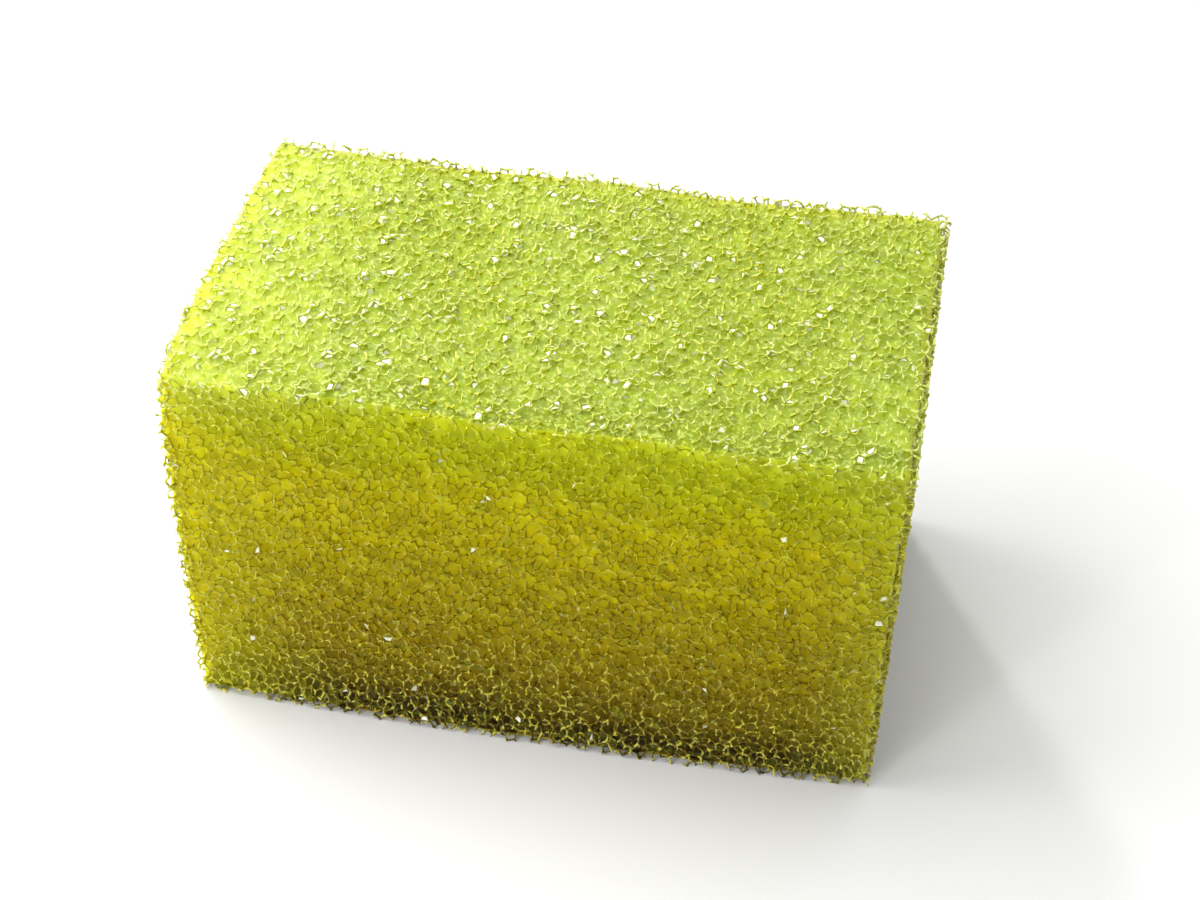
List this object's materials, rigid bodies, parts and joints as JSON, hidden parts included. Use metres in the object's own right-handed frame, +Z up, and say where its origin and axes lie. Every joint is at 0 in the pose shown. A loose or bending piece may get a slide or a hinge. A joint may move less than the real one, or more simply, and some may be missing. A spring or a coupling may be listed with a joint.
{
  "type": "cleaning sponge",
  "caption": "Rectangular block of open-cell foam for scrubbing and soaking up, with rough knife-cut faces and ragged edges.",
  "frame": {"origin": "centre of the underside, on the surface that the block rests on", "axes": "+X along the block's length, +Y from its front face to its back face, +Z up"},
  "size_m": [0.1022, 0.0602, 0.06],
  "materials": {
    "foam": "soft open-cell foam, glossy struts"
  },
  "bodies": {
    "root": {"sponge": "foam"}
  },
  "joints": []
}
